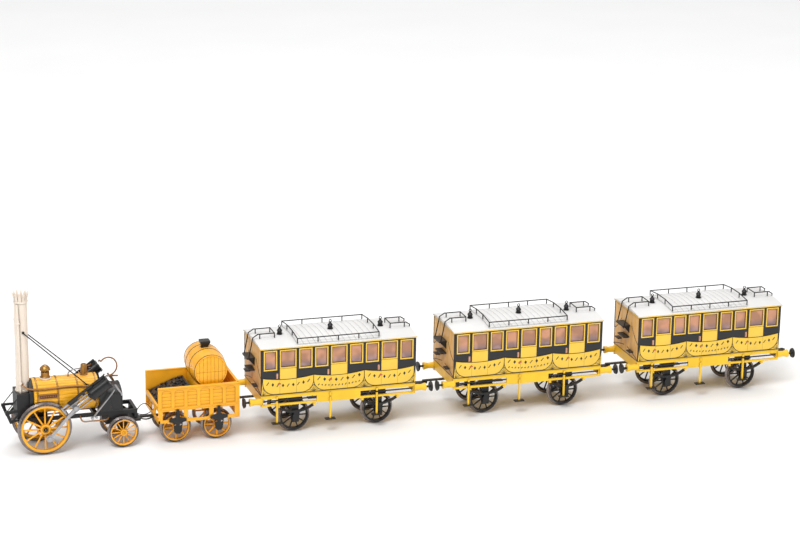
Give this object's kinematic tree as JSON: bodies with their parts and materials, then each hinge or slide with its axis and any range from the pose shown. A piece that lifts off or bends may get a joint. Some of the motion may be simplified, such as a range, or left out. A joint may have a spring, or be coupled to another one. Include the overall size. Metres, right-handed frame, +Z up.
{
  "type": "model train",
  "caption": "Model train: open-frame steam locomotive with inclined cylinders, barrel tender and closed coaches with roof rails, rolling on flanged wheels",
  "frame": {"origin": "middle of the train between the wheels, on the plane that the wheel flanges stand on", "axes": "+X towards the last coach, -X is forwards; +Y to the right of the direction of travel; +Z up"},
  "size_m": [0.3388, 0.0292, 0.0659],
  "materials": {
    "black_iron": "satin black enamel",
    "yellow_planks": "satin moulded planking",
    "brass": "dull",
    "cream_paint": "matt enamel",
    "dark_wire": "satin",
    "bronze": "satin bronze",
    "copper": "bare copper",
    "steel": "satin",
    "yellow_wheel": "semi-gloss with steel tyres",
    "yellow_paint": "semi-gloss",
    "black_plastic": "moulded",
    "coal": "broken, glossy",
    "coach_yellow": "semi-gloss paint",
    "white_roof": "matt paint",
    "brown_interior": "matt",
    "amber_glass": "tinted clear",
    "black_wheel": "black centres with steel tyres"
  },
  "bodies": {
    "loco": {"loco_frame": "black_iron", "front_bracket": "black_iron", "boiler": "yellow_planks", "boiler_bands": "brass", "smokebox": "black_iron", "chimney": "cream_paint", "chimney_crown": "cream_paint", "exhaust_pipes": "cream_paint", "chimney_stays": "dark_wire", "firebox": "black_iron", "boiler_fittings": "bronze", "steam_pipes": "copper", "cylinder_left": "black_iron", "cylinder_right": "black_iron", "motor": "steel"},
    "driving_wheels": {"driving_wheelset": "yellow_wheel"},
    "idler": {"idler_gear": "brass"},
    "motor_worm": {"worm": "steel"},
    "trailing_wheels": {"trailing_wheelset": "yellow_wheel"},
    "left_piston": {"crosshead_left": "steel"},
    "left_rod": {"connecting_rod_left": "steel"},
    "right_piston": {"crosshead_right": "steel"},
    "right_rod": {"connecting_rod_right": "steel"},
    "tender": {"tender_body": "yellow_paint", "tender_axleguards": "black_plastic", "coal_load": "coal", "water_barrel": "yellow_paint", "barrel_hoops": "dark_wire", "barrel_filler": "black_plastic", "tender_drawbar": "black_iron", "pickup_wires": "dark_wire"},
    "tender_front_wheels": {"tender_wheelset_front": "yellow_wheel"},
    "tender_rear_wheels": {"tender_wheelset_rear": "yellow_wheel"},
    "coach_1": {"coach_1_body": "coach_yellow", "coach_1_roof": "white_roof", "coach_1_roof_fittings": "dark_wire", "coach_1_interior": "brown_interior", "coach_1_glazing": "amber_glass", "coach_1_underframe": "coach_yellow", "coach_1_running_gear": "black_plastic"},
    "coach_1_front_wheels": {"coach_1_wheelset_front": "black_wheel"},
    "coach_1_rear_wheels": {"coach_1_wheelset_rear": "black_wheel"},
    "coach_2": {"coach_2_body": "coach_yellow", "coach_2_roof": "white_roof", "coach_2_roof_fittings": "dark_wire", "coach_2_interior": "brown_interior", "coach_2_glazing": "amber_glass", "coach_2_underframe": "coach_yellow", "coach_2_running_gear": "black_plastic"},
    "coach_2_front_wheels": {"coach_2_wheelset_front": "black_wheel"},
    "coach_2_rear_wheels": {"coach_2_wheelset_rear": "black_wheel"},
    "coach_3": {"coach_3_body": "coach_yellow", "coach_3_roof": "white_roof", "coach_3_roof_fittings": "dark_wire", "coach_3_interior": "brown_interior", "coach_3_glazing": "amber_glass", "coach_3_underframe": "coach_yellow", "coach_3_running_gear": "black_plastic"},
    "coach_3_front_wheels": {"coach_3_wheelset_front": "black_wheel"},
    "coach_3_rear_wheels": {"coach_3_wheelset_rear": "black_wheel"}
  },
  "joints": [
    {"name": "driving_spin", "type": "hinge", "parent": "loco", "child": "driving_wheels", "pos_m": [-0.15325, 0, 0.0108], "axis": [0, 1, 0], "continuous": true},
    {"name": "idler_spin", "type": "hinge", "parent": "loco", "child": "idler", "pos_m": [-0.15325, 0, 0.01605], "axis": [0, 1, 0], "continuous": true},
    {"name": "worm_spin", "type": "hinge", "parent": "loco", "child": "motor_worm", "pos_m": [-0.15325, 0, 0.0196], "axis": [1, 0, 0], "continuous": true},
    {"name": "trailing_spin", "type": "hinge", "parent": "loco", "child": "trailing_wheels", "pos_m": [-0.12205, 0, 0.0064], "axis": [0, 1, 0], "continuous": true},
    {"name": "left_piston_slide", "type": "slide", "parent": "loco", "child": "left_piston", "axis": [0.8141, 0, 0.5807], "range_m": [-0.00221, 0.00459]},
    {"name": "left_rod_swing", "type": "hinge", "parent": "left_piston", "child": "left_rod", "pos_m": [-0.14152, 0, 0.01917], "axis": [0, 1, 0], "range_deg": [-0.4, 24.78]},
    {"name": "right_piston_slide", "type": "slide", "parent": "loco", "child": "right_piston", "axis": [0.8141, 0, 0.5807], "range_m": [-0.00667, 0.00013]},
    {"name": "right_rod_swing", "type": "hinge", "parent": "right_piston", "child": "right_rod", "pos_m": [-0.13789, 0, 0.02176], "axis": [0, 1, 0], "range_deg": [-9.5, 15.67]},
    {"name": "tender_yaw", "type": "hinge", "parent": "loco", "child": "tender", "pos_m": [-0.11595, 0, 0.0093], "axis": [0, 0, 1], "range_deg": [-6, 6]},
    {"name": "tender_front_spin", "type": "hinge", "parent": "tender", "child": "tender_front_wheels", "pos_m": [-0.10085, 0, 0.0064], "axis": [0, 1, 0], "continuous": true},
    {"name": "tender_rear_spin", "type": "hinge", "parent": "tender", "child": "tender_rear_wheels", "pos_m": [-0.08405, 0, 0.0064], "axis": [0, 1, 0], "continuous": true},
    {"name": "coach_1_yaw", "type": "hinge", "parent": "tender", "child": "coach_1", "pos_m": [-0.0752, 0, 0.0132], "axis": [0, 0, 1], "range_deg": [-4, 4]},
    {"name": "coach_1_front_spin", "type": "hinge", "parent": "coach_1", "child": "coach_1_front_wheels", "pos_m": [-0.05205, 0, 0.0069], "axis": [0, 1, 0], "continuous": true},
    {"name": "coach_1_rear_spin", "type": "hinge", "parent": "coach_1", "child": "coach_1_rear_wheels", "pos_m": [-0.01685, 0, 0.0069], "axis": [0, 1, 0], "continuous": true},
    {"name": "coach_2_yaw", "type": "hinge", "parent": "coach_1", "child": "coach_2", "pos_m": [0.0063, 0, 0.0132], "axis": [0, 0, 1], "range_deg": [-6, 6]},
    {"name": "coach_2_front_spin", "type": "hinge", "parent": "coach_2", "child": "coach_2_front_wheels", "pos_m": [0.02945, 0, 0.0069], "axis": [0, 1, 0], "continuous": true},
    {"name": "coach_2_rear_spin", "type": "hinge", "parent": "coach_2", "child": "coach_2_rear_wheels", "pos_m": [0.06465, 0, 0.0069], "axis": [0, 1, 0], "continuous": true},
    {"name": "coach_3_yaw", "type": "hinge", "parent": "coach_2", "child": "coach_3", "pos_m": [0.0878, 0, 0.0132], "axis": [0, 0, 1], "range_deg": [-6, 6]},
    {"name": "coach_3_front_spin", "type": "hinge", "parent": "coach_3", "child": "coach_3_front_wheels", "pos_m": [0.11095, 0, 0.0069], "axis": [0, 1, 0], "continuous": true},
    {"name": "coach_3_rear_spin", "type": "hinge", "parent": "coach_3", "child": "coach_3_rear_wheels", "pos_m": [0.14615, 0, 0.0069], "axis": [0, 1, 0], "continuous": true}
  ],
  "couplings": [
    {"joint": "idler_spin", "follows": "driving_spin", "ratio": -1.1429},
    {"joint": "worm_spin", "follows": "driving_spin", "ratio": 16}
  ]
}
